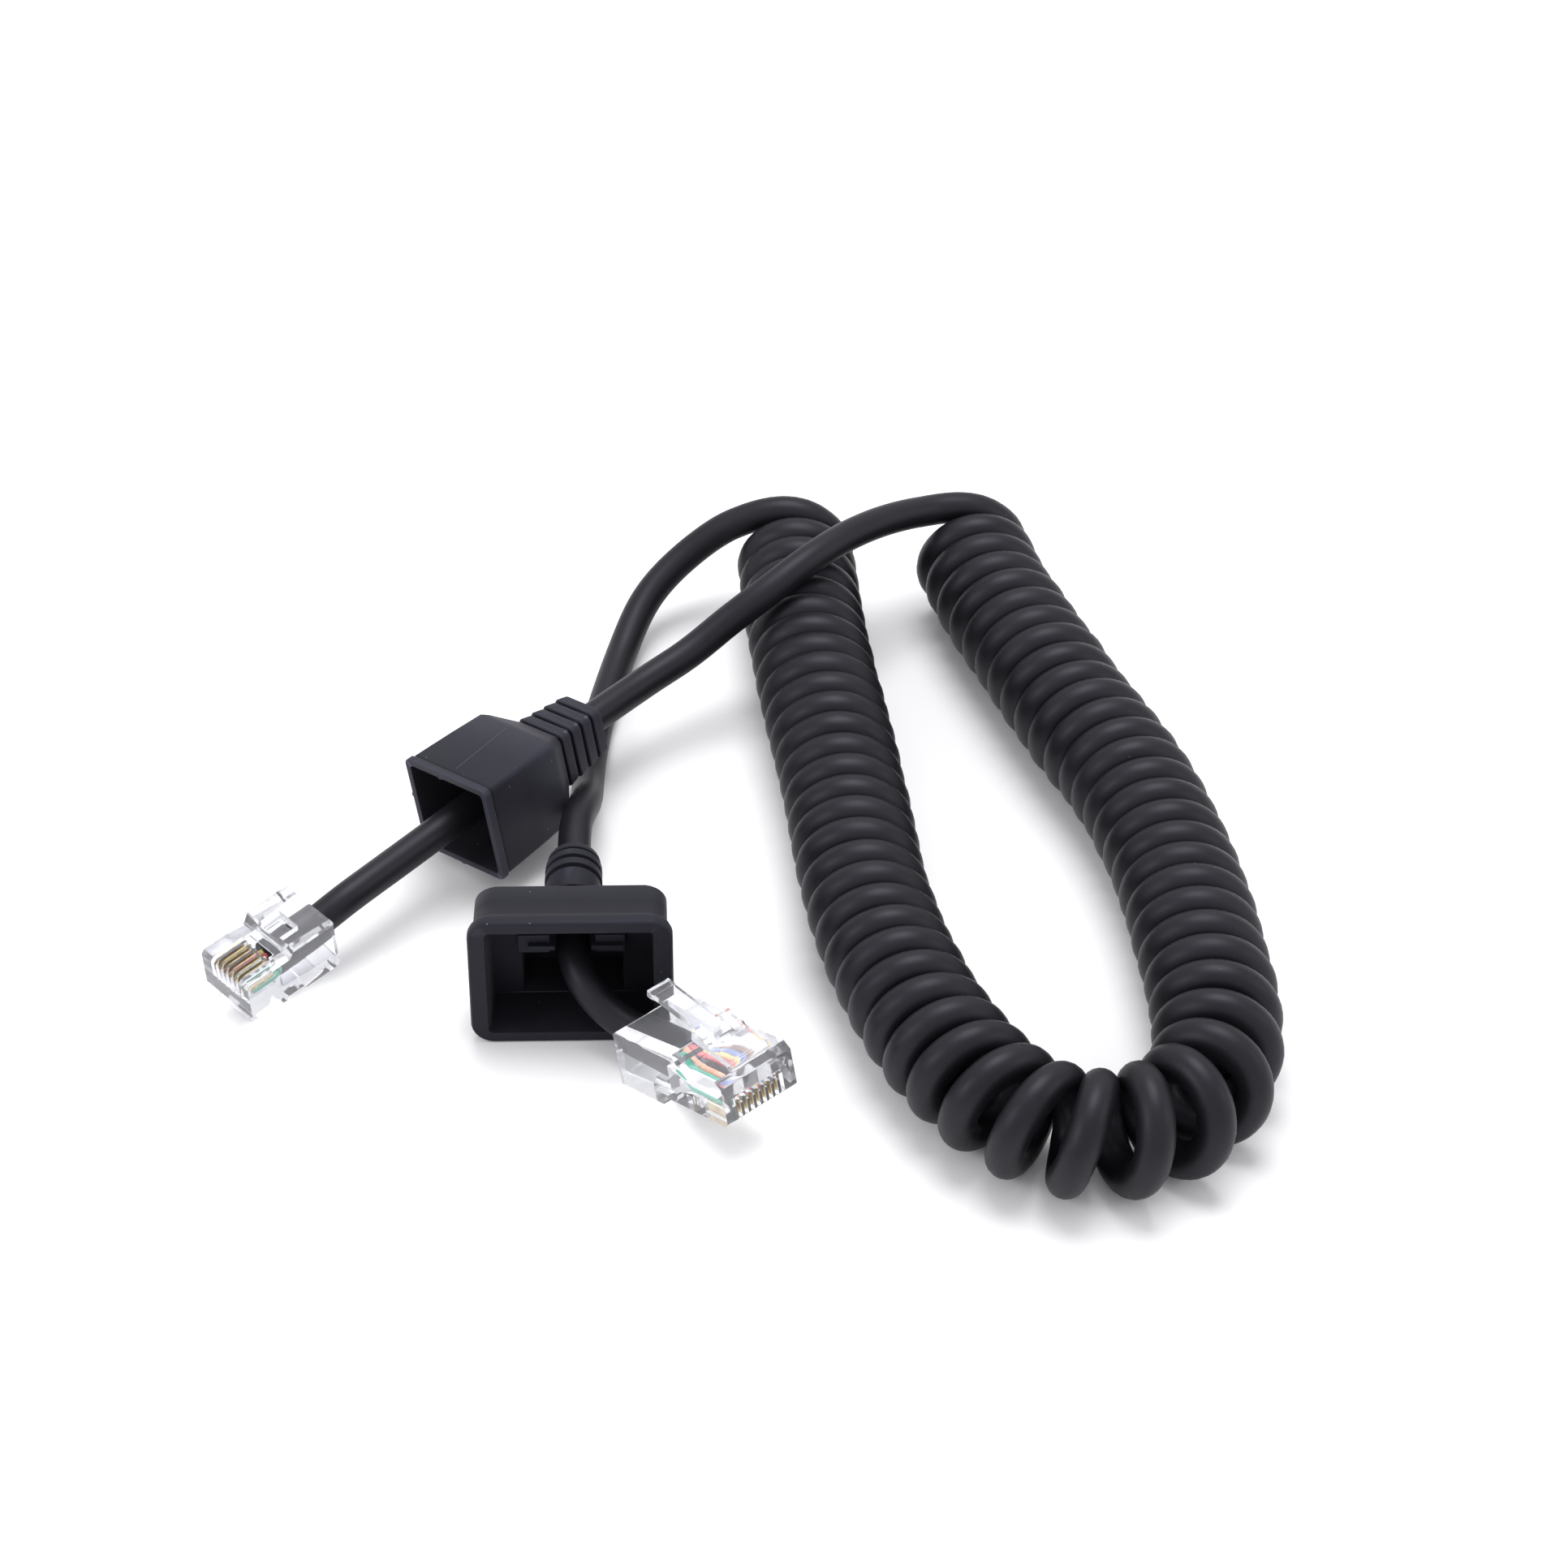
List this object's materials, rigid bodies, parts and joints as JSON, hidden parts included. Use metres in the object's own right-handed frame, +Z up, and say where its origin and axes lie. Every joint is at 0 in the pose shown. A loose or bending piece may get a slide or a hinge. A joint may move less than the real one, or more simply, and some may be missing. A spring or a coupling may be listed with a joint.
{
  "type": "coiled controller cord",
  "caption": "Black coiled cord lying in a U with straight leads, each ending in a clear modular plug, with a slid-back rubber boot on each lead.",
  "frame": {"origin": "bottom centre of the cord set's bounding box, on the table it lies on", "axes": "+Z up from the table; +X to the right and +Y away from the viewer, with the bend of the U towards -Y"},
  "size_m": [0.14, 0.1333, 0.022],
  "materials": {
    "coil_jacket": "matte black flexible cord jacket",
    "lead_jacket": "matte black flexible cord jacket",
    "boot_rubber": "matte black moulded rubber",
    "clear_plastic": "clear moulded polycarbonate",
    "gold_contact": "gold-plated contact",
    "insulation_white": "coloured wire insulation",
    "insulation_black": "coloured wire insulation",
    "insulation_red": "coloured wire insulation",
    "insulation_green": "coloured wire insulation",
    "insulation_yellow": "coloured wire insulation",
    "insulation_blue": "coloured wire insulation",
    "insulation_orange": "coloured wire insulation",
    "insulation_brown": "coloured wire insulation"
  },
  "bodies": {
    "cord_set": {"coil": "coil_jacket", "lead_a": "lead_jacket", "lead_b": "lead_jacket", "plug_a_body": "clear_plastic", "plug_a_contacts": "gold_contact", "plug_a_crimp_bar": "clear_plastic", "wire_a_white": "insulation_white", "wire_a_black": "insulation_black", "wire_a_red": "insulation_red", "wire_a_green": "insulation_green", "wire_a_yellow": "insulation_yellow", "wire_a_blue": "insulation_blue", "plug_b_body": "clear_plastic", "plug_b_contacts": "gold_contact", "plug_b_crimp_bar": "clear_plastic", "wire_b_orange": "insulation_orange", "wire_b_black": "insulation_black", "wire_b_red": "insulation_red", "wire_b_green": "insulation_green", "wire_b_yellow": "insulation_yellow", "wire_b_blue": "insulation_blue", "wire_b_brown": "insulation_brown", "wire_b_white": "insulation_white"},
    "latch_a": {"plug_a_latch": "clear_plastic"},
    "latch_b": {"plug_b_latch": "clear_plastic"},
    "boot_a": {"boot_a": "boot_rubber"},
    "boot_b": {"boot_b": "boot_rubber"}
  },
  "joints": [
    {"name": "latch_a_press", "type": "hinge", "parent": "cord_set", "child": "latch_a", "pos_m": [-0.06554, -0.02556, 0.00104], "axis": [-0.6843, 0.7284, 0.0347], "range_deg": [-6, 0], "stiffness_Nm_per_rad": 0.03},
    {"name": "latch_b_press", "type": "hinge", "parent": "cord_set", "child": "latch_b", "pos_m": [0.00154, -0.04942, 0.01389], "axis": [0.7431, 0.6691, 0], "range_deg": [-11, 0], "stiffness_Nm_per_rad": 0.03},
    {"name": "boot_a_slide", "type": "slide", "parent": "cord_set", "child": "boot_a", "axis": [-0.6682, -0.7421, -0.0523], "range_m": [0, 0.023]},
    {"name": "boot_b_slide", "type": "slide", "parent": "cord_set", "child": "boot_b", "axis": [-0.0175, 0.9998, 0], "range_m": [0, 0.006]}
  ]
}
